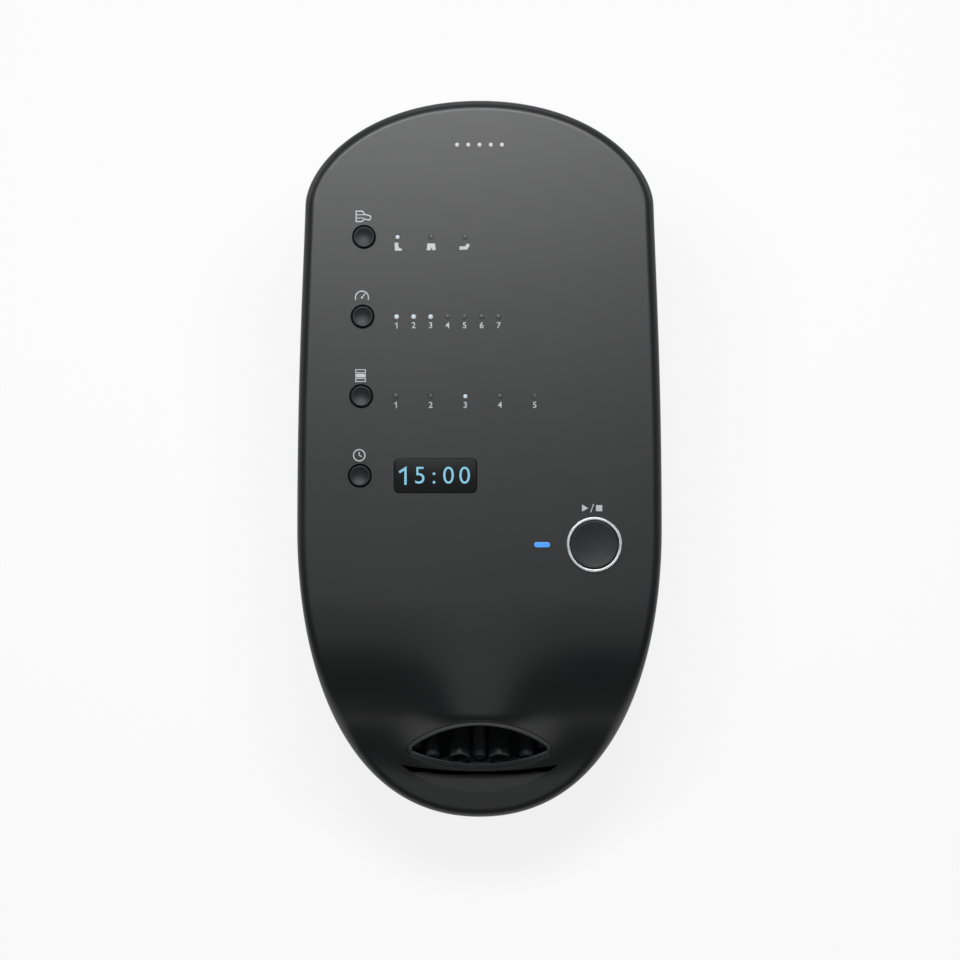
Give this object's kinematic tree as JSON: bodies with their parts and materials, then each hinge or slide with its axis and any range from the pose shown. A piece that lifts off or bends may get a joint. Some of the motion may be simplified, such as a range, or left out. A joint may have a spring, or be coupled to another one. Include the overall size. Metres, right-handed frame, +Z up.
{
  "type": "compression therapy pump",
  "caption": "Tabletop air pump for inflatable leg wraps, with a sloping satin panel of dished buttons, light dots, a clock window and a hose socket in its scooped nose.",
  "frame": {"origin": "on the table, under the middle of the body's box", "axes": "+Z up, -Y towards the hose socket and the toe, +Y towards the rear panel, +X to the right of someone reading the panel from the hose end"},
  "size_m": [0.1118, 0.2118, 0.1016],
  "materials": {
    "cover_shell": "satin moulded shell, dark grey",
    "housing_shell": "fine moulded texture",
    "key_caps": "satin, dished",
    "ring_metal": "polished ring",
    "window_tint": "dark tinted window",
    "display_black": "black display module",
    "light_guide": "clear light guide",
    "status_blue": "blue tinted light guide",
    "circuit_board": "solder mask",
    "led_white": "chip",
    "switch_metal": "stamped",
    "screw_steel": "zinc plated",
    "plunger_white": "moulded",
    "socket_black": "satin black insert",
    "nozzle_grey": "moulded nozzles",
    "rubber_black": "soft rubber",
    "gasket_rubber": "soft silicone",
    "tube_silicone": "translucent silicone",
    "manifold_grey": "moulded",
    "valve_coil": "wrapped coils",
    "can_steel": "drawn steel",
    "armature_copper": "copper windings on a steel shaft",
    "cast_alloy": "die cast",
    "spacer_brass": "turned",
    "connector_black": "moulded",
    "chip_grey": "moulded packages",
    "cell_wrap": "shrink wrap",
    "cradle_plastic": "moulded",
    "lead_red": "insulated lead",
    "lead_black": "insulated lead",
    "pin_gold": "plated pin",
    "rocker_black": "satin",
    "filter_foam": "open-cell foam"
  },
  "bodies": {
    "housing": {"top_cover": "cover_shell", "bottom_housing": "housing_shell", "filter_cover": "housing_shell", "rear_panel": "housing_shell", "start_ring": "ring_metal", "display_window": "window_tint", "display_module": "display_black", "light_guides": "light_guide", "status_light_guide": "status_blue", "panel_board": "circuit_board", "main_board": "circuit_board", "indicator_leds": "led_white", "tact_switches": "switch_metal", "panel_board_screws": "screw_steel", "socket_screws": "screw_steel", "pump_head_screws": "screw_steel", "housing_screws": "screw_steel", "diaphragm_rods": "plunger_white", "air_socket": "socket_black", "nozzle_plate": "nozzle_grey", "pump_diaphragms": "rubber_black", "pump_mounts": "rubber_black", "rubber_feet": "rubber_black", "nozzle_gasket": "gasket_rubber", "air_tubes": "tube_silicone", "sensor_tube": "tube_silicone", "valve_manifold": "manifold_grey", "zone_valves": "valve_coil", "pump_motor": "can_steel", "pump_bracket": "can_steel", "battery_tabs": "can_steel", "battery_strap": "can_steel", "pump_crankcase": "cast_alloy", "pump_heads": "cast_alloy", "board_spacers": "spacer_brass", "board_header": "connector_black", "buzzer": "connector_black", "power_inlet": "connector_black", "rocker_switch": "connector_black", "board_components": "chip_grey", "pressure_sensor": "chip_grey", "battery_cells": "cell_wrap", "battery_cradle": "cradle_plastic", "battery_lead": "lead_red", "power_lead": "lead_black", "inlet_pin": "pin_gold", "intake_filter": "filter_foam"},
    "attachment_key": {"attachment_button": "key_caps", "attachment_plunger": "plunger_white"},
    "pressure_key": {"pressure_button": "key_caps", "pressure_plunger": "plunger_white"},
    "zone_key": {"zone_button": "key_caps", "zone_plunger": "plunger_white"},
    "time_key": {"time_button": "key_caps", "time_plunger": "plunger_white"},
    "start_key": {"start_button": "key_caps", "start_plunger": "plunger_white"},
    "rocker": {"power_rocker": "rocker_black"},
    "rotor": {"motor_armature": "armature_copper", "pump_eccentric": "cast_alloy"}
  },
  "joints": [
    {"name": "attachment_press", "type": "slide", "parent": "housing", "child": "attachment_key", "axis": [0, 0.2079, -0.9781], "range_m": [0, 0.0005], "stiffness_N_per_m": 4000},
    {"name": "pressure_press", "type": "slide", "parent": "housing", "child": "pressure_key", "axis": [0, 0.2079, -0.9781], "range_m": [0, 0.0005], "stiffness_N_per_m": 4000},
    {"name": "zone_press", "type": "slide", "parent": "housing", "child": "zone_key", "axis": [0, 0.2079, -0.9781], "range_m": [0, 0.0005], "stiffness_N_per_m": 4000},
    {"name": "time_press", "type": "slide", "parent": "housing", "child": "time_key", "axis": [0, 0.2079, -0.9781], "range_m": [0, 0.0005], "stiffness_N_per_m": 4000},
    {"name": "start_press", "type": "slide", "parent": "housing", "child": "start_key", "axis": [0, 0.2079, -0.9781], "range_m": [0, 0.0005], "stiffness_N_per_m": 4000},
    {"name": "rocker_tilt", "type": "hinge", "parent": "housing", "child": "rocker", "pos_m": [-0.0085, 0.09843, 0.05654], "axis": [1, 0, 0], "range_deg": [-8, 8]},
    {"name": "rotor_spin", "type": "hinge", "parent": "housing", "child": "rotor", "pos_m": [0, 0, 0.0291], "axis": [0, 1, 0], "continuous": true}
  ]
}
